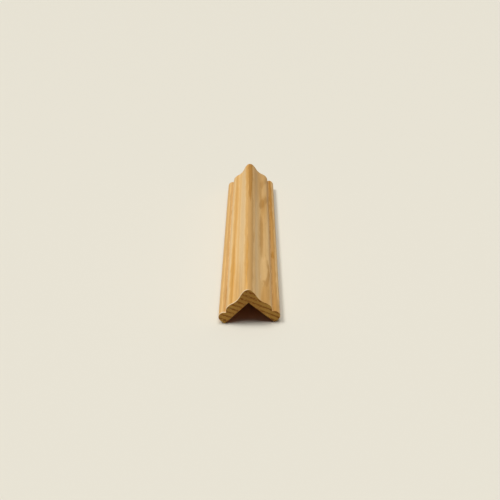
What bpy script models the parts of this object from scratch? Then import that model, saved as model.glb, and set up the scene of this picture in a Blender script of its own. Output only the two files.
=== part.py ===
"""Outside corner moulding in pine: one moulded length, sawn square at both ends.

Its section is an angle, two legs at 90 degrees around a sharp back corner, which fits over the outer corner of
a wall or post. Both legs have the same moulded face. From the outer corner to the edge of the leg that face is
a rounded nose, a cove, an ovolo, a quirk and an edge bead.

Frame: metres, +Y along the length, +Z up, origin at the middle of the length, on the surface that the moulding
lies on. It lies nose up, on the small flats that are taken off the inner arrises of its legs.
"""

import math

import bpy

# Overall sizes
LENGTH = 0.180
LEG_WIDTH = 0.0286
THICKNESS = 0.0074
FOOT_FLAT = 0.0008

# Members of the moulded face, with depths measured down from its highest line, along the nose
NOSE_RADIUS = 0.0032
COVE_DEPTH = 0.00135
OVOLO_DEPTH = 0.0003
OVOLO_RADIUS = 0.0047
QUIRK_DEPTH = 0.0023
QUIRK_WIDTH = 0.0003
BEAD_DEPTH = 0.0005
BEAD_RADIUS = 0.0036

# Most that one facet turns on a round
FACET_TURN = math.radians(6)

# Finish
PINE_COLOUR = (0.62, 0.39, 0.15, 1.0)
PINE_ROUGHNESS = 0.6

# Directions in the drawing of a leg, where the back lies flat and the moulded face looks up
UP = math.pi / 2
DOWN = 3 * math.pi / 2
EIGHTH_TURN = math.pi / 4


def arc(centre, radius, start, end):
    """Points on a round from one angle to another, both ends included."""
    count = max(1, math.ceil(round(abs(end - start) / FACET_TURN, 6)))
    angles = [start + (end - start) * step / count for step in range(count + 1)]
    return [(centre[0] + radius * math.cos(a), centre[1] + radius * math.sin(a)) for a in angles]


def ogee(start, end):
    """Points on an S of two equal rounds, which leaves and arrives level with the back."""
    width = end[0] - start[0]
    drop = start[1] - end[1]
    turn = 2 * math.atan(abs(drop) / width)
    radius = width / (2 * math.sin(turn))
    if drop > 0:
        first = arc((start[0], start[1] - radius), radius, UP, UP - turn)
        second = arc((end[0], end[1] + radius), radius, DOWN - turn, DOWN)
    else:
        first = arc((start[0], start[1] + radius), radius, DOWN, DOWN + turn)
        second = arc((end[0], end[1] - radius), radius, UP + turn, UP)
    return first + second[1:]


def moulded_face():
    """Face of one leg, as points (distance along the leg from the outer corner, height above the back).

    It runs from the middle of the nose to the foot. The edge bead and the quirk are set out from the edge of
    the leg, the ovolo stands against the quirk, and the cove takes up what is left between the ovolo and the
    nose, with its two sides equally steep.
    """
    nose = arc((NOSE_RADIUS, THICKNESS - NOSE_RADIUS), NOSE_RADIUS, UP + EIGHTH_TURN, UP)

    bead_centre = (LEG_WIDTH - BEAD_RADIUS, THICKNESS - BEAD_DEPTH - BEAD_RADIUS)
    bead_rise = THICKNESS - QUIRK_DEPTH - bead_centre[1]
    bead = arc(bead_centre, BEAD_RADIUS, math.pi - math.asin(bead_rise / BEAD_RADIUS), 0.0)

    ovolo_turn = math.acos(1 - (QUIRK_DEPTH - OVOLO_DEPTH) / OVOLO_RADIUS)
    ovolo_foot = bead[0][0] - QUIRK_WIDTH
    crest = (ovolo_foot - OVOLO_RADIUS * math.sin(ovolo_turn), THICKNESS - OVOLO_DEPTH)
    ovolo = arc((crest[0], crest[1] - OVOLO_RADIUS), OVOLO_RADIUS, UP, UP - ovolo_turn)

    fall = COVE_DEPTH
    rise = COVE_DEPTH - OVOLO_DEPTH
    cove_width = crest[0] - NOSE_RADIUS
    cove_bottom = (NOSE_RADIUS + cove_width * fall / (fall + rise), THICKNESS - COVE_DEPTH)
    cove = ogee(nose[-1], cove_bottom)[1:] + ogee(cove_bottom, crest)[1:]

    foot_cut = FOOT_FLAT / math.sqrt(2)
    foot = [(LEG_WIDTH, foot_cut), (LEG_WIDTH - foot_cut, 0.0)]
    return nose + cove + ovolo[1:] + bead + foot


def on_section(point, side):
    """Place a point of a leg on the upright section, where each leg falls at 45 degrees to its foot."""
    along, height = point
    across = (along + height - THICKNESS) / math.sqrt(2)
    up = (LEG_WIDTH - along + height) / math.sqrt(2) - FOOT_FLAT / 2
    return side * across, up


def section():
    """Closed outline of the moulding's end: one leg, the back corner and the other leg back to the nose."""
    face = moulded_face()
    right_leg = [on_section(point, 1) for point in face]
    back_corner = on_section((THICKNESS, 0.0), 1)
    left_leg = [on_section(point, -1) for point in reversed(face[1:])]
    return right_leg + [back_corner] + left_leg


def pine():
    """Bare planed pine."""
    material = bpy.data.materials.new("pine")
    material.use_nodes = True
    shader = material.node_tree.nodes["Principled BSDF"]
    shader.inputs["Base Color"].default_value = PINE_COLOUR
    shader.inputs["Roughness"].default_value = PINE_ROUGHNESS
    shader.inputs["Metallic"].default_value = 0.0
    return material


def moulded_length(outline):
    """The whole piece: its end as a flat outline, thickened to the length and turned to lie along Y."""
    curve = bpy.data.curves.new("corner_moulding", "CURVE")
    curve.dimensions = "2D"
    curve.fill_mode = "BOTH"
    curve.extrude = LENGTH / 2
    spline = curve.splines.new("POLY")
    spline.points.add(len(outline) - 1)
    for point, (across, up) in zip(spline.points, outline):
        point.co = (across, up, 0.0, 1.0)
    spline.use_cyclic_u = True
    curve.materials.append(pine())
    piece = bpy.data.objects.new("corner_moulding", curve)
    piece.rotation_euler = (math.radians(90), 0.0, 0.0)
    return piece


def main():
    """Clear the scene and build the moulding in a collection of its own."""
    for leftover in list(bpy.data.objects):
        bpy.data.objects.remove(leftover, do_unlink=True)
    collection = bpy.data.collections.new("outside_corner_moulding")
    bpy.context.scene.collection.children.link(collection)
    collection.objects.link(moulded_length(section()))


main()
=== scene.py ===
"""Looks of the outside corner moulding: bare pine, moulded along its length and sawn square at both ends.

The wood is one solid field of growth rings. The mesh's raised grain and both finishes read the same rings, so
the stripes of the faces run on into the end grain.
"""

import functools
import logging
import math
from dataclasses import dataclass, field, fields
from enum import Enum
from typing import Any, Sequence

import bpy
from mathutils import Matrix, Vector


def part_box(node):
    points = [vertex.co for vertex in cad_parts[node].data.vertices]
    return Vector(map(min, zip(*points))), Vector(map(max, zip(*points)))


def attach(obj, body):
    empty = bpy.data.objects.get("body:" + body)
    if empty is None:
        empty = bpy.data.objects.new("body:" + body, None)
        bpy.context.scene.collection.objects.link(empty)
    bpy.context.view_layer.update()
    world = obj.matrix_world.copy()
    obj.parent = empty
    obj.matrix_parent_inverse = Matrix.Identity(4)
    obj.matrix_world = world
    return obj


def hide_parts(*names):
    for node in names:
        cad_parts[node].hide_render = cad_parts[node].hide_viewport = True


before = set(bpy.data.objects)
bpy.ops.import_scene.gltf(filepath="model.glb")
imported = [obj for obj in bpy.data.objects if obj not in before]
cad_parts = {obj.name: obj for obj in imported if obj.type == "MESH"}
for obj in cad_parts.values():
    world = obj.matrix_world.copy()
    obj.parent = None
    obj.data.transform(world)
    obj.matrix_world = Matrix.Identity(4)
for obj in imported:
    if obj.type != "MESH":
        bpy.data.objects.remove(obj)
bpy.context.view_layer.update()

NODE = "corner_moulding"
MM = 0.001

# Width in pixels of the picture that the camera's focal length is counted in
PIXEL_FRAME = 500

# Lean of the saw's strokes across the two ends
SAW_ANGLE = math.radians(38)

# Directions in the drawing of a leg, where the back lies flat and the moulded face looks up
UP = math.pi / 2
DOWN = 3 * math.pi / 2
EIGHTH_TURN = math.pi / 4

LOG = logging.getLogger(NODE)

Point = tuple[float, float]
Span = tuple[float, float]
Colour = tuple[float, float, float, float]
Socket = bpy.types.NodeSocket

# Display values of a colour, and the curve that turns them into linear light
DISPLAY_WHITE = 255
DISPLAY_DARK = 10
DARK_SLOPE = 12.92
CURVE_OFFSET = 0.055
CURVE_POWER = 2.4


class Grain(Enum):
    """The way a surface cuts the wood, which decides its finish."""

    LONG = "long_grain"
    END = "end_grain"


class Tone(Enum):
    """What a patch does to the colour of the face: it is the first word of the patch's name."""

    PALE = "pale"
    DARK = "dark"
    DEEP = "deep"
    CLEAR = "clear"


class Tree:
    """A node tree that is written with Python expressions."""

    def __init__(self, nodes: bpy.types.NodeTree) -> None:
        """Start from an existing tree.

        Args:
            nodes: the tree that every node is added to.
        """
        self.nodes = nodes

    def node(self, kind: str, settings: dict[str, Any] | None = None,
             inputs: dict[str, Any] | None = None) -> bpy.types.Node:
        """Add a node.

        Args:
            kind: the node's type.
            settings: its properties, set before its sockets.
            inputs: a value or a link for each socket, by the socket's name or identifier.

        Returns:
            The new node.
        """
        made = self.nodes.nodes.new(kind)
        for name, value in (settings or {}).items():
            setattr(made, name, value)
        for name, value in (inputs or {}).items():
            self.feed(pick(made.inputs, name), value)
        return made

    def feed(self, socket: Socket, value: Any) -> None:
        """Link a socket to another one, or set its value.

        Args:
            socket: the input.
            value: a Number, a socket or a plain value.
        """
        source = value.socket if isinstance(value, Number) else value
        if isinstance(source, bpy.types.NodeSocket):
            self.nodes.links.new(source, socket)
        else:
            socket.default_value = source

    def number(self, socket: Socket) -> "Number":
        """Wrap a socket for use in expressions."""
        return Number(self, socket)

    def split(self, vector: Socket) -> tuple["Number", "Number", "Number"]:
        """Take a vector apart into its three numbers."""
        parts = self.node("ShaderNodeSeparateXYZ", inputs={"Vector": vector}).outputs
        return self.number(parts["X"]), self.number(parts["Y"]), self.number(parts["Z"])

    def join(self, x: Any, y: Any, z: Any) -> Socket:
        """Make a vector of three numbers."""
        return self.node("ShaderNodeCombineXYZ", inputs={"X": x, "Y": y, "Z": z}).outputs["Vector"]

    def noise(self, x: Any, y: Any, z: Any, detail: float = 1.0, roughness: float = 0.5) -> "Number":
        """Smooth noise around zero.

        Args:
            x: first coordinate, counted in grains of the noise.
            y: second coordinate.
            z: third coordinate.
            detail: octaves of finer noise on top.
            roughness: strength of each octave beside the one before.

        Returns:
            The noise, from about -0.5 to 0.5.
        """
        made = self.node("ShaderNodeTexNoise", inputs={
            "Vector": self.join(x, y, z), "Scale": 1.0, "Detail": detail, "Roughness": roughness})
        return self.number(made.outputs["Fac"]) - 0.5

    def blend(self, share: Any, first: Any, second: Any) -> Socket:
        """Mix two colours.

        Args:
            share: how much of the second colour shows.
            first: a colour or a link.
            second: a colour or a link.

        Returns:
            The mixed colour.
        """
        made = self.node("ShaderNodeMix", {"data_type": "RGBA"},
                         {"Factor_Float": share, "A_Color": first, "B_Color": second})
        return pick(made.outputs, "Result_Color")


def pick(sockets: Sequence[Socket], name: str) -> Socket:
    """Find a socket by its identifier, or else by its name."""
    by_identifier = [socket for socket in sockets if socket.identifier == name]
    return by_identifier[0] if by_identifier else sockets[name]


class Number:
    """A number on a node tree. Python's operators on it add the tree's maths nodes."""

    def __init__(self, tree: Tree, socket: Socket) -> None:
        """Wrap an output.

        Args:
            tree: the tree that the socket is in.
            socket: the output that carries the number.
        """
        self.tree = tree
        self.socket = socket

    def maths(self, operation: str, *values: Any) -> "Number":
        """Add one Math node.

        Args:
            operation: the node's operation.
            values: its inputs in order, numbers or links.

        Returns:
            The node's result.
        """
        made = self.tree.node("ShaderNodeMath", {"operation": operation})
        for socket, value in zip(made.inputs, values):
            self.tree.feed(socket, value)
        return Number(self.tree, made.outputs["Value"])

    def __add__(self, other: Any) -> "Number":
        """This number plus another."""
        return self.maths("ADD", self, other)

    def __radd__(self, other: Any) -> "Number":
        """Another number plus this one."""
        return self.maths("ADD", other, self)

    def __sub__(self, other: Any) -> "Number":
        """This number less another."""
        return self.maths("SUBTRACT", self, other)

    def __rsub__(self, other: Any) -> "Number":
        """Another number less this one."""
        return self.maths("SUBTRACT", other, self)

    def __mul__(self, other: Any) -> "Number":
        """This number times another."""
        return self.maths("MULTIPLY", self, other)

    def __truediv__(self, other: Any) -> "Number":
        """This number divided by another."""
        return self.maths("DIVIDE", self, other)

    def __neg__(self) -> "Number":
        """This number with its sign changed."""
        return self.maths("MULTIPLY", self, -1.0)

    def __abs__(self) -> "Number":
        """This number without its sign."""
        return self.maths("ABSOLUTE", self)

    def root(self) -> "Number":
        """Square root."""
        return self.maths("SQRT", self)

    def sine(self) -> "Number":
        """Sine of an angle in radians."""
        return self.maths("SINE", self)

    def cosine(self) -> "Number":
        """Cosine of an angle in radians."""
        return self.maths("COSINE", self)

    def fraction(self) -> "Number":
        """What is left above the whole number below."""
        return self.maths("FRACT", self)

    def whole(self) -> "Number":
        """Nearest whole number."""
        return self.maths("ROUND", self)

    def sign(self) -> "Number":
        """One with this number's sign."""
        return self.maths("SIGN", self)

    def least(self, other: Any) -> "Number":
        """The smaller of this number and another."""
        return self.maths("MINIMUM", self, other)

    def most(self, other: Any) -> "Number":
        """The larger of this number and another."""
        return self.maths("MAXIMUM", self, other)

    def ramp(self, low: float, high: float) -> "Number":
        """Rise smoothly from 0 at one value to 1 at another.

        Args:
            low: the value where the rise starts.
            high: the value where it ends.

        Returns:
            The number from 0 to 1.
        """
        made = self.tree.node("ShaderNodeMapRange", {"interpolation_type": "SMOOTHSTEP"},
                              {"Value": self, "From Min": low, "From Max": high})
        return Number(self.tree, made.outputs["Result"])


def shade(red: int, green: int, blue: int) -> Colour:
    """Turn a colour of 8-bit display values into the linear one that shaders use."""
    linear = []
    for display in (red, green, blue):
        level = display / DISPLAY_WHITE
        if display <= DISPLAY_DARK:
            linear.append(level / DARK_SLOPE)
        else:
            linear.append(((level + CURVE_OFFSET) / (1 + CURVE_OFFSET)) ** CURVE_POWER)
    return (*linear, 1.0)


@dataclass(frozen=True)
class Pattern:
    """One noise pattern in the wood, drawn out along the length."""

    width: float
    length: float
    detail: float
    roughness: float = 0.5

    def at(self, tree: Tree, place: tuple[Number, Number, Number]) -> Number:
        """Read the pattern.

        Args:
            tree: the tree to write on.
            place: the point's three coordinates.

        Returns:
            The noise, from about -0.5 to 0.5.
        """
        x, y, z = place
        return tree.noise(x / self.width, y / self.length, z / self.width, self.detail, self.roughness)


@dataclass(frozen=True)
class GrowthRings:
    """Yearly rings of the trunk, as one field through the whole wood.

    The pith runs along the length, far below the left leg. So the rings cut the left leg's faces in narrow
    stripes and lie almost level with the right leg's, where the grain also runs out and leaves round-ended
    tongues that point to the near end.
    """

    width: float = 3.0 * MM
    dip: float = math.radians(27)
    pith_distance: float = 500 * MM
    year_end: float = 14.6 * MM
    runout: float = 0.0268
    runout_start: float = -90 * MM
    runout_from: float = 5 * MM
    runout_full: float = 9 * MM
    wander: float = 0.8 * MM
    wandering: Pattern = Pattern(width=14 * MM, length=55 * MM, detail=1.5)
    uneven: float = 0.3
    uneven_pace: float = 0.37
    latewood_from: float = 0.35
    latewood_full: float = 0.85
    latewood_end: float = 0.94

    def age(self, tree: Tree, place: tuple[Number, Number, Number]) -> Number:
        """Count the rings outward from the one that ends at the ridge.

        Args:
            tree: the tree to write on.
            place: the point's three coordinates.

        Returns:
            The number of years, with its fraction through the year.
        """
        x, y, z = place
        across = x + self.pith_distance * math.sin(self.dip)
        up = z + self.pith_distance * math.cos(self.dip)
        radius = (across * across + up * up).root() - self.pith_distance
        runout = (y - self.runout_start) * x.ramp(self.runout_from, self.runout_full) * self.runout
        drift = self.wandering.at(tree, place)
        years = (radius + runout + drift * self.wander - self.year_end) / self.width
        good_years = tree.noise(years * self.uneven_pace, 0.0, 0.0, detail=0.0)
        return years + good_years * self.uneven

    def latewood(self, tree: Tree, place: tuple[Number, Number, Number]) -> Number:
        """How much of the dense dark summer wood there is: it thickens through the year and stops abruptly.

        Args:
            tree: the tree to write on.
            place: the point's three coordinates.

        Returns:
            The amount, from 0 to 1.
        """
        season = self.age(tree, place).fraction()
        return season.ramp(self.latewood_from, self.latewood_full) * (1 - season.ramp(self.latewood_end, 1.0))


@dataclass(frozen=True)
class Patch:
    """A run of wood on the moulded faces that is darker or paler than its rings alone would make it."""

    across: float
    along: float
    half_width: float
    half_length: float
    strength: float
    slant: float = 0.0
    core: float = 0.1

    def amount(self, place: tuple[Number, Number, Number]) -> Number:
        """How much of the patch there is, all of it in its core and none past its edge.

        Args:
            place: the point's three coordinates.

        Returns:
            The amount, from 0 to the patch's strength.
        """
        x, y, _ = place
        aside = (x - self.across) / self.half_width
        beyond = (y - self.along - (x - self.across) * self.slant) / self.half_length
        return (1 - (aside * aside + beyond * beyond).ramp(self.core, 1.0)) * self.strength


@dataclass(frozen=True)
class Figure:
    """What the rings leave on the faces of this length.

    Dark and deep patches are honey-brown runs, spots and dashes. Two deep ones paint shade: the far one on
    the right leg darkens it as if the light fell off towards the far end, and the long one on the right ovolo
    is partly latewood and partly painted shade on the ovolo's inner flank. Pale ones are light bands. Clear
    ones are the tongues, where the deep patches hardly show. Their places are measured across from the ridge
    and along from the middle of the length.
    """

    dark_nose: Patch = Patch(-1.6 * MM, -5 * MM, 1.4 * MM, 150 * MM, 0.6)
    dark_nose_far: Patch = Patch(-1.9 * MM, 92 * MM, 1.7 * MM, 80 * MM, 0.85)
    dark_nose_near: Patch = Patch(-1.0 * MM, -62 * MM, 1.2 * MM, 48 * MM, 0.9)
    dark_left_run: Patch = Patch(-10.3 * MM, -62 * MM, 1.9 * MM, 66 * MM, 1.0, core=0.2)
    dark_left_haze: Patch = Patch(-6.5 * MM, -86 * MM, 4.5 * MM, 44 * MM, 0.55)
    dark_left_far: Patch = Patch(-10.0 * MM, 30 * MM, 2.0 * MM, 110 * MM, 0.72)
    dark_left_edge: Patch = Patch(-17.6 * MM, 0.0, 1.8 * MM, 260 * MM, 0.5)
    deep_left_bead: Patch = Patch(-15.1 * MM, 0.0, 1.3 * MM, 260 * MM, 0.55)
    deep_left_quirk: Patch = Patch(-14.5 * MM, -92 * MM, 0.9 * MM, 60 * MM, 0.7)
    deep_ridge: Patch = Patch(1.1 * MM, -5 * MM, 2.4 * MM, 170 * MM, 0.6, core=0.4)
    deep_ridge_far: Patch = Patch(0.7 * MM, 84 * MM, 2.2 * MM, 80 * MM, 0.95, core=0.4)
    # Partly latewood and partly painted shade: darkens the right ovolo's inner flank, which faces up into the
    # lamps, along the whole length
    deep_right_ovolo_grain_and_shade: Patch = Patch(8.8 * MM, 0.0, 3.4 * MM, 260 * MM, 0.25, core=0.3)
    deep_right_run: Patch = Patch(8.1 * MM, -10 * MM, 1.7 * MM, 42 * MM, 0.68)
    deep_tongue_end: Patch = Patch(10.0 * MM, -86 * MM, 3.2 * MM, 28 * MM, 0.48, slant=2.0, core=0.3)
    deep_tongue_rim: Patch = Patch(10.3 * MM, -58 * MM, 3.0 * MM, 19 * MM, 0.7, slant=1.0, core=0.5)
    deep_knot: Patch = Patch(9.3 * MM, 36 * MM, 3.2 * MM, 13 * MM, 0.78, slant=2.0)
    deep_knot_arm: Patch = Patch(11.6 * MM, 44 * MM, 3.0 * MM, 9 * MM, 0.66, slant=3.4)
    deep_right_far: Patch = Patch(9.0 * MM, 68 * MM, 3.0 * MM, 13 * MM, 0.68, slant=2.0)
    deep_far_arm: Patch = Patch(12.2 * MM, 80 * MM, 3.0 * MM, 9 * MM, 0.6, slant=3.4)
    # Painted shade: darkens the far part of the right leg, as if the light fell off towards the far end
    deep_far_painted_shade: Patch = Patch(9.0 * MM, 104 * MM, 13 * MM, 110 * MM, 0.4)
    deep_far_ovolo: Patch = Patch(9.4 * MM, 58 * MM, 3.4 * MM, 52 * MM, 0.5, core=0.3)
    deep_bead_inner: Patch = Patch(15.5 * MM, 74 * MM, 1.0 * MM, 72 * MM, 1.0, core=0.4)
    deep_right_bead: Patch = Patch(15.6 * MM, 0.0, 1.8 * MM, 260 * MM, 0.75, core=0.3)
    deep_bead_near: Patch = Patch(15.4 * MM, -28 * MM, 1.7 * MM, 10 * MM, 1.0)
    deep_bead_middle: Patch = Patch(15.6 * MM, 31 * MM, 1.8 * MM, 12 * MM, 0.95)
    deep_bead_far: Patch = Patch(15.6 * MM, 62 * MM, 1.8 * MM, 12 * MM, 0.9)
    deep_bead_end: Patch = Patch(16.2 * MM, -80 * MM, 2.2 * MM, 14 * MM, 0.6, slant=-3.0)
    pale_right_cove: Patch = Patch(5.0 * MM, -32 * MM, 1.4 * MM, 110 * MM, 0.45)
    pale_left_ovolo: Patch = Patch(-13.0 * MM, -10 * MM, 1.5 * MM, 100 * MM, 0.6)
    pale_left_cove: Patch = Patch(-4.6 * MM, 5 * MM, 2.6 * MM, 120 * MM, 0.6)
    pale_fleck: Patch = Patch(7.3 * MM, -64 * MM, 0.4 * MM, 4.5 * MM, 1.0)
    clear_near_tongue: Patch = Patch(9.3 * MM, -54 * MM, 2.8 * MM, 17 * MM, 0.8, slant=1.0, core=0.5)
    clear_far_tongue: Patch = Patch(11.0 * MM, 60 * MM, 2.2 * MM, 12 * MM, 0.4, slant=2.0, core=0.4)

    def amount(self, tone: Tone, place: tuple[Number, Number, Number]) -> Number:
        """Join all the patches of one tone.

        Args:
            tone: which patches to join.
            place: the point's three coordinates.

        Returns:
            The amount of the strongest patch there.
        """
        names = [each.name for each in fields(self) if each.name.startswith(tone.value)]
        return functools.reduce(Number.most, [getattr(self, name).amount(place) for name in names])


@dataclass(frozen=True)
class LongGrainFinish:
    """Planed faces along the grain: honey-coloured stripes, fine fibres and short resin canals.

    A span is where a mask starts and where it is full. A share is how far the colour goes towards another.
    """

    rings: GrowthRings
    figure: Figure = Figure()
    early: Colour = shade(224, 186, 127)
    late: Colour = shade(213, 160, 80)
    deep: Colour = shade(168, 117, 40)
    pale: Colour = shade(230, 199, 148)
    canal: Colour = shade(150, 96, 40)
    # Painted shade: dark orange for the flat backs, which lie in the shade under the moulding
    back: Colour = shade(172, 84, 6)
    # Painted highlight: pale colour for the near end of the left leg, where its arris catches the key light
    painted_highlight: Colour = shade(246, 226, 190)
    fibres: Pattern = Pattern(width=0.22 * MM, length=14 * MM, detail=2.0, roughness=0.6)
    clouds: Pattern = Pattern(width=7 * MM, length=60 * MM, detail=2.0)
    canals: Pattern = Pattern(width=0.3 * MM, length=5 * MM, detail=0.0)
    wavers: Pattern = Pattern(width=2.2 * MM, length=11 * MM, detail=3.0, roughness=0.6)
    edge_waver: float = 2.0 * MM
    end_waver: float = 16 * MM
    canal_edge: Span = (0.27, 0.34)
    ring_contrast: float = 0.5
    cloud_contrast: float = 0.3
    ring_in_dark: float = 0.4
    dark_fibre: Span = (-0.1, 0.35)
    dark_fibre_share: float = 0.15
    pale_fibre: Span = (0.05, -0.35)
    pale_fibre_share: float = 0.2
    canal_share: float = 0.35
    # Painted highlight at the near end: how far it reaches, where it is full, the side it is on and its
    # strength
    highlight_width: float = 1.0 * MM
    highlight_core: float = MM / 3
    highlight_side: Span = (2 * MM, -2 * MM)
    highlight_share: float = 0.85
    # Painted shade on the backs: where it fades in and how strong it is
    back_painted_shade_fade: Span = (0.6 * MM, 0.1 * MM)
    back_painted_shade_share: float = 0.92
    ring_relief: float = 0.5
    fibre_relief: float = 0.5
    canal_relief: float = 0.6
    bump_strength: float = 0.3
    bump_depth: float = 0.06 * MM
    roughness: float = 0.6
    ring_polish: float = 0.08
    fibre_roughness: float = 0.12
    specular: float = 0.35

    def material(self, half_length: float, back_line: float) -> bpy.types.Material:
        """Build the finish.

        Args:
            half_length: distance from the middle of the moulding to its sawn ends.
            back_line: what the distance from the middle and the height add up to on the flat backs, which get
                the painted shade.

        Returns:
            The material.
        """
        material, tree, shader = new_material(Grain.LONG.value)
        place = tree.split(tree.node("ShaderNodeTexCoord").outputs["Object"])
        x, y, z = place
        late = self.rings.latewood(tree, place)
        fibre = self.fibres.at(tree, place)
        cloud = self.clouds.at(tree, place)
        canal = self.canals.at(tree, place).ramp(*self.canal_edge)
        waver = self.wavers.at(tree, place)
        wavered = (x + waver * self.edge_waver, y + waver * self.end_waver, z)
        pale, dark, deep, clear = (self.figure.amount(tone, wavered) for tone in Tone)

        striped = (late * self.ring_contrast + cloud * self.cloud_contrast).most(dark)
        stripes = tree.blend(striped, self.early, self.late)
        paled = tree.blend(pale, stripes, self.pale)
        deepened = tree.blend((deep * (1 - clear)).most(late * dark * self.ring_in_dark), paled, self.deep)
        fibred = tree.blend(fibre.ramp(*self.dark_fibre) * self.dark_fibre_share, deepened, self.deep)
        lighter = tree.blend(fibre.ramp(*self.pale_fibre) * self.pale_fibre_share, fibred, self.pale)
        canalled = tree.blend(canal * self.canal_share, lighter, self.canal)
        # Painted highlight: a narrow pale band on the left leg at the near end, where its arris catches the
        # key light
        end_near = y.ramp(self.highlight_width - half_length, self.highlight_core - half_length)
        painted_highlight = tree.blend(end_near * x.ramp(*self.highlight_side) * self.highlight_share, canalled, self.painted_highlight)
        # Painted shade: the flat backs, in the shade under the moulding, go dark orange
        fade_from, fade_to = self.back_painted_shade_fade
        painted_shade_behind = (abs(x) + z).ramp(back_line + fade_from, back_line + fade_to)
        painted_shade_backed = tree.blend(painted_shade_behind * self.back_painted_shade_share, painted_highlight, self.back)

        relief = late * self.ring_relief + fibre * self.fibre_relief - canal * self.canal_relief
        bump = tree.node("ShaderNodeBump", inputs={
            "Strength": self.bump_strength, "Distance": self.bump_depth, "Height": relief})
        rough = self.roughness - late * self.ring_polish + fibre * self.fibre_roughness
        tree.feed(shader.inputs["Base Color"], painted_shade_backed)
        tree.feed(shader.inputs["Roughness"], rough)
        tree.feed(shader.inputs["Normal"], bump.outputs["Normal"])
        shader.inputs["Specular IOR Level"].default_value = self.specular
        return material


@dataclass(frozen=True)
class EndGrainFinish:
    """Sawn ends across the grain: broken dark latewood bands, open earlywood and the saw's scratches.

    A span is where a mask starts and where it is full. A share is how far the colour goes towards another.
    """

    rings: GrowthRings
    early: Colour = shade(198, 150, 69)
    late: Colour = shade(152, 93, 20)
    grey: Colour = shade(193, 156, 89)
    pore: Colour = shade(109, 57, 8)
    pores: Pattern = Pattern(width=0.16 * MM, length=6 * MM, detail=1.0)
    pore_edge: Span = (0.08, 0.3)
    blotches: Pattern = Pattern(width=2.6 * MM, length=6 * MM, detail=2.0)
    dash_length: float = 1.5 * MM
    dash_width: float = 0.55 * MM
    dash_depth: float = 6 * MM
    dash_detail: float = 1.5
    dash_roughness: float = 0.6
    # The end is darker towards its middle: fully within the first distance of the middle, not at all past the
    # second
    heart_shade: float = 0.35
    heart_from: float = 3 * MM
    heart_to: float = 11 * MM
    band_share: float = 0.85
    band_broken: float = 3.6
    band_uneven: float = 2.2
    band_edge: Span = (0.0, 0.8)
    stray_dash: Span = (0.04, 0.3)
    stray_share: float = 0.5
    blotch_edge: Span = (0.0, 0.35)
    blotch_share: float = 0.35
    grey_dash: Span = (0.0, -0.25)
    grey_share: float = 0.6
    pore_share: float = 0.25
    pore_in_late: float = 0.45
    spot_dash: Span = (0.05, 0.25)
    spot_share: float = 0.2
    spot_in_late: float = 0.4
    saw_angle: float = SAW_ANGLE
    saw_width: float = 0.12 * MM
    saw_length: float = 9 * MM
    ring_relief: float = 0.5
    pore_relief: float = 0.7
    saw_relief: float = 0.6
    bump_strength: float = 0.5
    bump_depth: float = 0.08 * MM
    roughness: float = 0.86
    ring_polish: float = 0.1
    saw_roughness: float = 0.1
    specular: float = 0.25

    def material(self) -> bpy.types.Material:
        """Build the finish.

        Returns:
            The material.
        """
        material, tree, shader = new_material(Grain.END.value)
        place = tree.split(tree.node("ShaderNodeTexCoord").outputs["Object"])
        x, y, z = place
        late = self.rings.latewood(tree, place)
        along_ring = x * math.cos(self.rings.dip) - z * math.sin(self.rings.dip)
        through_ring = x * math.sin(self.rings.dip) + z * math.cos(self.rings.dip)
        pores = self.pores.at(tree, place).ramp(*self.pore_edge)
        blotch = self.blotches.at(tree, place)
        dashes = tree.noise(
            along_ring / self.dash_length, y / self.dash_depth, through_ring / self.dash_width,
            self.dash_detail, self.dash_roughness)
        saw_line = x * math.cos(self.saw_angle) + z * math.sin(self.saw_angle)
        scratches = tree.noise(saw_line / self.saw_width, 0.0, (z - x) / self.saw_length)

        banded = late * (self.band_share + dashes * self.band_broken + blotch * self.band_uneven)
        strayed = banded + dashes.ramp(*self.stray_dash) * self.stray_share
        bands = tree.blend(strayed.ramp(*self.band_edge), self.early, self.late)
        # Darker towards the middle of the end
        darker_middle = abs(x).ramp(self.heart_to, self.heart_from) * self.heart_shade
        darker = (blotch.ramp(*self.blotch_edge) * self.blotch_share).most(darker_middle)
        blotched = tree.blend(darker, bands, self.late)
        greyed = tree.blend(dashes.ramp(*self.grey_dash) * self.grey_share, blotched, self.grey)
        pored = tree.blend(pores * (self.pore_share + late * self.pore_in_late), greyed, self.pore)
        spots = dashes.ramp(*self.spot_dash) * (self.spot_share + late * self.spot_in_late)
        spotted = tree.blend(spots, pored, self.pore)

        relief = late * self.ring_relief - pores * self.pore_relief + scratches * self.saw_relief
        bump = tree.node("ShaderNodeBump", inputs={
            "Strength": self.bump_strength, "Distance": self.bump_depth, "Height": relief})
        rough = self.roughness - late * self.ring_polish + scratches * self.saw_roughness
        tree.feed(shader.inputs["Base Color"], spotted)
        tree.feed(shader.inputs["Roughness"], rough)
        tree.feed(shader.inputs["Normal"], bump.outputs["Normal"])
        shader.inputs["Specular IOR Level"].default_value = self.specular
        return material


def new_material(name: str) -> tuple[bpy.types.Material, Tree, bpy.types.Node]:
    """Start a material.

    Args:
        name: the material's name.

    Returns:
        The material, its tree for expressions and its Principled shader.
    """
    material = bpy.data.materials.new(name)
    material.use_nodes = True
    return material, Tree(material.node_tree), material.node_tree.nodes["Principled BSDF"]


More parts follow.
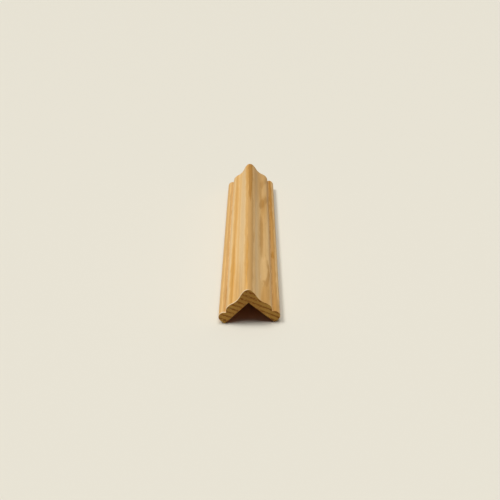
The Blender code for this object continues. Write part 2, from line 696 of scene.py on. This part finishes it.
@dataclass
class CornerMoulding:
    """The moulded length: the section's two rails, lofted along the length and through the thickness.

    The members of the face are sizes in metres. The leg's width, the thickness and the length are worked out
    from the box of the solid that the piece stands for.
    """

    nose_radius: float = 3.2 * MM
    cove_depth: float = 1.35 * MM
    ovolo_depth: float = 0.3 * MM
    ovolo_radius: float = 4.7 * MM
    quirk_depth: float = 2.3 * MM
    quirk_width: float = 0.3 * MM
    bead_depth: float = 0.5 * MM
    bead_radius: float = 3.6 * MM
    foot_flat: float = 0.8 * MM
    arris: float = 0.2 * MM
    arris_steps: int = 3
    foot_steps: int = 3
    facet: float = 0.26 * MM
    stations: int = 128
    layers: int = 22
    raised_grain: float = 0.02 * MM
    end_ridges: float = 0.05 * MM
    saw_depth: float = 0.05 * MM
    saw_pitch: float = 1.3 * MM
    saw_reach: float = 120 * MM
    saw_angle: float = SAW_ANGLE
    saw_waver: float = 0.6
    saw_waver_size: float = 6 * MM
    end_facing: Span = (0.6, 0.95)
    end_finish_from: float = 0.9
    crisp_turn: float = math.radians(35)
    rings: GrowthRings = field(default_factory=GrowthRings)

    def __post_init__(self) -> None:
        """Work out the overall sizes from the frame's box."""
        low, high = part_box(NODE)
        self.length = high[1] - low[1]
        width, height = high[0] - low[0], high[2] - low[2]
        root = math.sqrt(2)
        self.leg = (width / 2 - self.bead_radius) * root + self.bead_depth + 2 * self.bead_radius
        self.thickness = (height + self.foot_flat / 2) * root - self.leg + self.nose_radius * (2 - root)
        self.back_line = (self.leg - self.thickness) / root - self.foot_flat / 2

    def arc(self, centre: Point, radius: float, start: float, end: float) -> list[Point]:
        """Points on a round, both ends included.

        Args:
            centre: the round's centre.
            radius: its radius.
            start: the angle it starts at.
            end: the angle it ends at.

        Returns:
            The points.
        """
        count = max(1, math.ceil(abs(end - start) * radius / self.facet))
        angles = [start + (end - start) * step / count for step in range(count + 1)]
        return [(centre[0] + radius * math.cos(a), centre[1] + radius * math.sin(a)) for a in angles]

    def ogee(self, start: Point, end: Point) -> list[Point]:
        """Points on an S of two equal rounds that leaves and arrives level.

        Args:
            start: the point nearer the nose.
            end: the point nearer the edge.

        Returns:
            The points after the start.
        """
        width, drop = end[0] - start[0], start[1] - end[1]
        turn = 2 * math.atan(abs(drop) / width)
        radius = math.copysign(width / (2 * math.sin(turn)), drop)
        up, down = (UP, DOWN) if drop > 0 else (DOWN, UP)
        swing = math.copysign(turn, drop)
        first = self.arc((start[0], start[1] - radius), abs(radius), up, up - swing)
        second = self.arc((end[0], end[1] + radius), abs(radius), down - swing, down)
        return first[1:] + second[1:]

    def face_rail(self) -> list[Point]:
        """Moulded face of the right leg as (distance along the leg, height above its back).

        Returns:
            The points from the middle of the nose to the end of the bead.
        """
        top = self.thickness
        nose = self.arc((self.nose_radius, top - self.nose_radius), self.nose_radius, UP + EIGHTH_TURN, UP)
        bead_centre = (self.leg - self.bead_radius, top - self.bead_depth - self.bead_radius)
        bead_rise = top - self.quirk_depth - bead_centre[1]
        bead = self.arc(bead_centre, self.bead_radius, math.pi - math.asin(bead_rise / self.bead_radius), 0.0)
        turn = math.acos(1 - (self.quirk_depth - self.ovolo_depth) / self.ovolo_radius)
        foot = bead[0][0] - self.quirk_width
        crest = (foot - self.ovolo_radius * math.sin(turn), top - self.ovolo_depth)
        ovolo = self.arc((crest[0], crest[1] - self.ovolo_radius), self.ovolo_radius, UP, UP - turn)
        fall, rise = self.cove_depth, self.cove_depth - self.ovolo_depth
        bottom = (self.nose_radius + (crest[0] - self.nose_radius) * fall / (fall + rise), top - fall)
        return nose + self.ogee(nose[-1], bottom) + self.ogee(bottom, crest) + ovolo[1:] + bead

    def back_rail(self, count: int) -> list[Point]:
        """Back of the right leg, with the small flat that it stands on.

        Args:
            count: how many points the face's rail has.

        Returns:
            As many points, from the back corner to the edge.
        """
        cut = self.foot_flat / math.sqrt(2)
        steps = self.foot_steps
        foot = [(self.leg - cut + cut * step / steps, cut * step / steps) for step in range(steps + 1)]
        straight = count - len(foot)
        run = self.leg - cut - self.thickness
        return [(self.thickness + run * step / straight, 0.0) for step in range(straight)] + foot

    def stand(self, rail: list[Point]) -> list[Point]:
        """Stand a leg's rail on the upright section and mirror it for the other leg.

        Args:
            rail: points of the right leg, the first in the middle.

        Returns:
            Points (across, up) from the left edge to the right edge.
        """
        root = math.sqrt(2)
        right = [((s + v - self.thickness) / root, (self.leg - s + v) / root - self.foot_flat / 2)
                 for s, v in rail]
        return [(-across, up) for across, up in reversed(right[1:])] + right

    def rails(self) -> bpy.types.Object:
        """The two rails as loose points, each with the outward direction of the section there.

        Returns:
            An object with the face's points first and the back's after them.
        """
        right = self.face_rail()
        face, back = self.stand(right), self.stand(self.back_rail(len(right)))
        outline = face + back[::-1]
        outward = outline_normals(outline)
        outward = outward[:len(face)] + outward[len(face):][::-1]
        mesh = bpy.data.meshes.new("rails")
        mesh.from_pydata([(across, 0.0, up) for across, up in face + back], [], [])
        directions = mesh.attributes.new("outward", "FLOAT_VECTOR", "POINT")
        for entry, (across, up) in zip(directions.data, outward):
            entry.vector = (across, 0.0, up)
        rails = bpy.data.objects.new(NODE + "_rails", mesh)
        bpy.context.scene.collection.objects.link(rails)
        return rails

    def loft_tree(self) -> bpy.types.NodeTree:
        """Write the Geometry Nodes tree that lofts the rails and raises the grain.

        Returns:
            The tree, with the sizes as its named inputs.
        """
        group = bpy.data.node_groups.new("moulded_length", "GeometryNodeTree")
        face = group.interface
        face.new_socket("Rails", in_out="INPUT", socket_type="NodeSocketGeometry")
        for name, kind in self.loft_inputs():
            face.new_socket(name, in_out="INPUT", socket_type=kind)
        face.new_socket("Moulding", in_out="OUTPUT", socket_type="NodeSocketGeometry")
        tree = Tree(group)
        given = tree.node("NodeGroupInput").outputs
        lofted = self.loft(tree, given)
        carved = self.raise_grain(tree, given, lofted)
        finished = self.dress(tree, given, carved)
        tree.node("NodeGroupOutput", inputs={"Moulding": finished})
        return group

    def loft_inputs(self) -> list[tuple[str, str]]:
        """Names and types of the tree's inputs after the rails."""
        sizes = ("Length", "Arris", "Raised Grain", "End Ridges", "Saw Depth", "Saw Pitch", "Saw Reach")
        counts = ("Rail Points", "Stations", "Layers", "Arris Steps")
        finishes = ("Long Grain", "End Grain")
        return ([(name, "NodeSocketFloat") for name in sizes] + [(name, "NodeSocketInt") for name in counts]
                + [(name, "NodeSocketMaterial") for name in finishes])

    def loft(self, tree: Tree, given: Any) -> Socket:
        """Bend a cube's grid onto the section: across by the rails, through between them, along by stations.

        Args:
            tree: the tree to write on.
            given: the tree's inputs.

        Returns:
            The closed moulding, still smooth.
        """
        points, stations = tree.number(given["Rail Points"]), tree.number(given["Stations"])
        cube = tree.node("GeometryNodeMeshCube", inputs={
            "Size": (1.0, 1.0, 1.0), "Vertices X": given["Rail Points"], "Vertices Y": stations + 1,
            "Vertices Z": tree.number(given["Layers"]) + 1})
        x, y, z = tree.split(tree.node("GeometryNodeInputPosition").outputs["Position"])

        half = stations / 2
        from_middle = (y * stations).whole()
        steps_in = half - abs(from_middle)
        arris, arris_steps = tree.number(given["Arris"]), tree.number(given["Arris Steps"])
        turn = (steps_in / arris_steps).least(1.0) * (math.pi / 2)
        inset = arris * (1 - turn.sine())
        half_length = tree.number(given["Length"]) / 2
        pitch = (half_length - arris) / (half - arris_steps)
        from_end = arris * (1 - turn.cosine()) + (steps_in - arris_steps).most(0.0) * pitch
        along = from_middle.sign() * (half_length - from_end)

        index = ((x + 0.5) * (points - 1)).whole()
        on_face = self.rail_point(tree, given["Rails"], index, inset)
        on_back = self.rail_point(tree, given["Rails"], index + points, inset)
        through = tree.node("ShaderNodeMix", {"data_type": "VECTOR"}, {
            "Factor_Float": z + 0.5, "A_Vector": on_back, "B_Vector": on_face})
        across, _, up = tree.split(pick(through.outputs, "Result_Vector"))
        return tree.node("GeometryNodeSetPosition", inputs={
            "Geometry": cube.outputs["Mesh"], "Position": tree.join(across, along, up)}).outputs["Geometry"]

    def rail_point(self, tree: Tree, rails: Socket, index: Number, inset: Number) -> Socket:
        """Read one point of the rails, drawn in from the surface.

        Args:
            tree: the tree to write on.
            rails: the rails' geometry.
            index: which point to read.
            inset: how far to draw it in.

        Returns:
            The point.
        """
        position = tree.node("GeometryNodeInputPosition").outputs["Position"]
        outward = tree.node("GeometryNodeInputNamedAttribute", {"data_type": "FLOAT_VECTOR"},
                            {"Name": "outward"}).outputs["Attribute"]
        on_rail, direction = (
            tree.node("GeometryNodeSampleIndex", {"data_type": "FLOAT_VECTOR", "domain": "POINT"},
                      {"Geometry": rails, "Value": value, "Index": index}).outputs["Value"]
            for value in (position, outward))
        drawn_in = tree.node("ShaderNodeVectorMath", {"operation": "SCALE"},
                             {"Vector": direction, "Scale": -inset}).outputs["Vector"]
        moved = tree.node("ShaderNodeVectorMath", {"operation": "ADD"})
        tree.feed(moved.inputs[0], on_rail)
        tree.feed(moved.inputs[1], drawn_in)
        return moved.outputs["Vector"]

    def raise_grain(self, tree: Tree, given: Any, lofted: Socket) -> Socket:
        """Sink the soft earlywood below the latewood, and saw the ends.

        Args:
            tree: the tree to write on.
            given: the tree's inputs.
            lofted: the smooth moulding.

        Returns:
            The moulding with its relief.
        """
        normal = tree.node("GeometryNodeInputNormal").outputs["Normal"]
        on_end = abs(tree.split(normal)[1]).ramp(*self.end_facing)
        x, y, z = tree.split(tree.node("GeometryNodeInputPosition").outputs["Position"])
        early = 1 - self.rings.latewood(tree, (x, y, z))
        reach = tree.number(given["Saw Reach"])
        over = x + reach * math.sin(self.saw_angle)
        above = z + reach * math.cos(self.saw_angle)
        swing = (over * over + above * above).root() / given["Saw Pitch"]
        waver = tree.noise(x / self.saw_waver_size, z / self.saw_waver_size, y)
        tooth = (swing + waver * self.saw_waver).fraction()
        on_faces = early * given["Raised Grain"]
        on_ends = early * given["End Ridges"] + tooth * given["Saw Depth"]
        depth = on_faces + (on_ends - on_faces) * on_end
        sunk = tree.node("ShaderNodeVectorMath", {"operation": "SCALE"}, {"Vector": normal, "Scale": -depth})
        return tree.node("GeometryNodeSetPosition", inputs={
            "Geometry": lofted, "Offset": sunk.outputs["Vector"]}).outputs["Geometry"]

    def dress(self, tree: Tree, given: Any, carved: Socket) -> Socket:
        """Smooth the rounds, keep the corners crisp and give each surface its finish.

        Args:
            tree: the tree to write on.
            given: the tree's inputs.
            carved: the moulding with its relief.

        Returns:
            The finished moulding.
        """
        crisp = tree.number(tree.node("GeometryNodeInputMeshEdgeAngle").outputs["Unsigned Angle"])
        rounded = tree.node("GeometryNodeSetShadeSmooth", {"domain": "EDGE"}, {
            "Geometry": carved, "Selection": crisp.maths("GREATER_THAN", crisp, self.crisp_turn),
            "Shade Smooth": False}).outputs["Geometry"]
        real = tree.node("GeometryNodeRealizeInstances", inputs={"Geometry": rounded}).outputs["Geometry"]
        planed = tree.node("GeometryNodeSetMaterial", inputs={
            "Geometry": real, "Material": given["Long Grain"]}).outputs["Geometry"]
        facing = abs(tree.split(tree.node("GeometryNodeInputNormal").outputs["Normal"])[1])
        return tree.node("GeometryNodeSetMaterial", inputs={
            "Geometry": planed, "Selection": facing.maths("GREATER_THAN", facing, self.end_finish_from),
            "Material": given["End Grain"]}).outputs["Geometry"]

    def build(self) -> bpy.types.Object:
        """Make the moulding as a plain mesh in place.

        Returns:
            The finished piece.
        """
        rails = self.rails()
        group = self.loft_tree()
        values = {
            "Length": self.length, "Arris": self.arris, "Raised Grain": self.raised_grain,
            "End Ridges": self.end_ridges, "Saw Depth": self.saw_depth, "Saw Pitch": self.saw_pitch,
            "Saw Reach": self.saw_reach, "Rail Points": len(rails.data.vertices) // 2,
            "Stations": self.stations, "Layers": self.layers, "Arris Steps": self.arris_steps,
            "Long Grain": LongGrainFinish(self.rings).material(self.length / 2, self.back_line),
            "End Grain": EndGrainFinish(self.rings).material(),
        }
        loft = rails.modifiers.new("loft", "NODES")
        loft.node_group = group
        for item in group.interface.items_tree:
            if item.name in values:
                loft[item.identifier] = values[item.name]
        rails.update_tag()
        evaluated = rails.evaluated_get(bpy.context.evaluated_depsgraph_get())
        mesh = bpy.data.meshes.new_from_object(evaluated)
        rails.modifiers.remove(loft)
        bpy.data.objects.remove(rails)
        piece = bpy.data.objects.new("moulding", mesh)
        bpy.context.scene.collection.objects.link(piece)
        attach(piece, "root")
        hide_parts(NODE)
        return piece


def outline_normals(outline: list[Point]) -> list[Point]:
    """Outward direction at each point of a closed outline, long enough to shift both its sides by one.

    Args:
        outline: points in order, clockwise.

    Returns:
        A direction for each point.
    """
    def side(start: Point, end: Point) -> Vector:
        """Outward normal of one side."""
        return Vector((start[1] - end[1], end[0] - start[0])).normalized()

    directions = []
    for before, here, after in zip(outline[-1:] + outline[:-1], outline, outline[1:] + outline[:1]):
        first, second = side(before, here), side(here, after)
        directions.append(tuple((first + second) / (1 + first.dot(second))))
    return directions


@dataclass(frozen=True)
class Lamp:
    """One broad, far light: where it shines from, its strength and how wide it looks from the table."""

    name: str
    place: tuple[float, float, float]
    strength: float
    width: float
    colour: tuple[float, float, float]


@dataclass
class Studio:
    """Pale table, soft light from above and the left, and the camera."""

    focal_pixels: float = 657.8
    azimuth: float = math.radians(1.83)
    elevation: float = math.radians(31.13)
    roll: float = math.radians(-2.85)
    distance: float = 471.7 * MM
    target: tuple[float, float, float] = (-0.49 * MM, 0.0, -3.7 * MM)
    sensor: float = 36.0
    table_half: float = 4.0
    table_colour: Colour = shade(219, 216, 205)
    sky_colour: Colour = (1.0, 0.95, 0.87, 1.0)
    sky_strength: float = 0.2
    dark_side: Span = (-0.1, -0.75)
    dark_above: Span = (0.1, 0.3)
    nearest: float = 10 * MM
    tooth_colour: Colour = shade(210, 205, 190)
    tooth_size: float = 0.6 * MM
    tooth_detail: float = 2.0
    tooth_edge: Span = (-0.4, 0.4)
    tooth_share: float = 0.04
    table_roughness: float = 0.9
    table_specular: float = 0.1
    key: Lamp = Lamp("key", (-0.47, 0.15, 1.0), 1.75, math.radians(20), (1.0, 0.99, 0.97))
    top: Lamp = Lamp("top", (0.1, 0.05, 1.0), 1.55, math.radians(34), (1.0, 0.985, 0.955))

    def build(self) -> None:
        """Make the table, the lights and the camera."""
        self.camera()
        self.table()
        self.sky()
        self.hang(self.key)
        self.hang(self.top)

    def camera(self) -> None:
        """Stand the camera where the photograph was taken from."""
        forward = Vector((-math.sin(self.azimuth) * math.cos(self.elevation),
                          math.cos(self.azimuth) * math.cos(self.elevation), -math.sin(self.elevation)))
        level_right = forward.cross(Vector((0.0, 0.0, 1.0))).normalized()
        level_up = level_right.cross(forward)
        right = level_right * math.cos(self.roll) + level_up * math.sin(self.roll)
        up = level_up * math.cos(self.roll) - level_right * math.sin(self.roll)
        turned = Matrix((right, up, -forward)).transposed().to_4x4()
        data = bpy.data.cameras.new("camera")
        data.sensor_width = self.sensor
        data.lens = self.focal_pixels / PIXEL_FRAME * self.sensor
        data.clip_start = self.nearest
        camera = bpy.data.objects.new("camera", data)
        camera.matrix_world = Matrix.Translation(Vector(self.target) - forward * self.distance) @ turned
        bpy.context.scene.collection.objects.link(camera)
        bpy.context.scene.camera = camera

    def table(self) -> None:
        """Lay the pale surface that the moulding lies on."""
        half = self.table_half
        mesh = bpy.data.meshes.new("table")
        mesh.from_pydata([(-half, -half, 0.0), (half, -half, 0.0), (half, half, 0.0), (-half, half, 0.0)],
                         [], [(0, 1, 2, 3)])
        material, tree, shader = new_material("matt_paper")
        x, y, _ = tree.split(tree.node("ShaderNodeTexCoord").outputs["Object"])
        tooth = tree.noise(x / self.tooth_size, y / self.tooth_size, 0.0, self.tooth_detail)
        toothed = tree.blend(tooth.ramp(*self.tooth_edge) * self.tooth_share, self.table_colour,
                             self.tooth_colour)
        tree.feed(shader.inputs["Base Color"], toothed)
        shader.inputs["Roughness"].default_value = self.table_roughness
        shader.inputs["Specular IOR Level"].default_value = self.table_specular
        mesh.materials.append(material)
        table = bpy.data.objects.new("table", mesh)
        bpy.context.scene.collection.objects.link(table)

    def sky(self) -> None:
        """Fill the room with even light, apart from a dark part high on the viewer's side."""
        world = bpy.data.worlds.new("room")
        world.use_nodes = True
        background = world.node_tree.nodes["Background"]
        background.inputs["Color"].default_value = self.sky_colour
        tree = Tree(world.node_tree)
        _, forward, up = tree.split(tree.node("ShaderNodeTexCoord").outputs["Generated"])
        dark = forward.ramp(*self.dark_side) * up.ramp(*self.dark_above)
        tree.feed(background.inputs["Strength"], (1 - dark) * self.sky_strength)
        bpy.context.scene.world = world

    def hang(self, lamp: Lamp) -> None:
        """Hang a lamp so that it points at the moulding.

        Args:
            lamp: the light's name, direction, strength, width and colour.
        """
        data = bpy.data.lights.new(lamp.name, "SUN")
        data.energy = lamp.strength
        data.angle = lamp.width
        data.color = lamp.colour
        hung = bpy.data.objects.new(lamp.name, data)
        hung.location = lamp.place
        hung.rotation_mode = "QUATERNION"
        hung.rotation_quaternion = Vector(lamp.place).to_track_quat("Z", "Y")
        bpy.context.scene.collection.objects.link(hung)


def main() -> None:
    """Build the moulding and the studio, and log the moulding's number of faces."""
    logging.basicConfig(level=logging.INFO, format="%(name)s: %(message)s")
    piece = CornerMoulding().build()
    LOG.info("%s has %d faces", piece.name, len(piece.data.polygons))
    Studio().build()
    bpy.context.scene.view_settings.view_transform = "Standard"


if __name__ == "__main__":
    main()
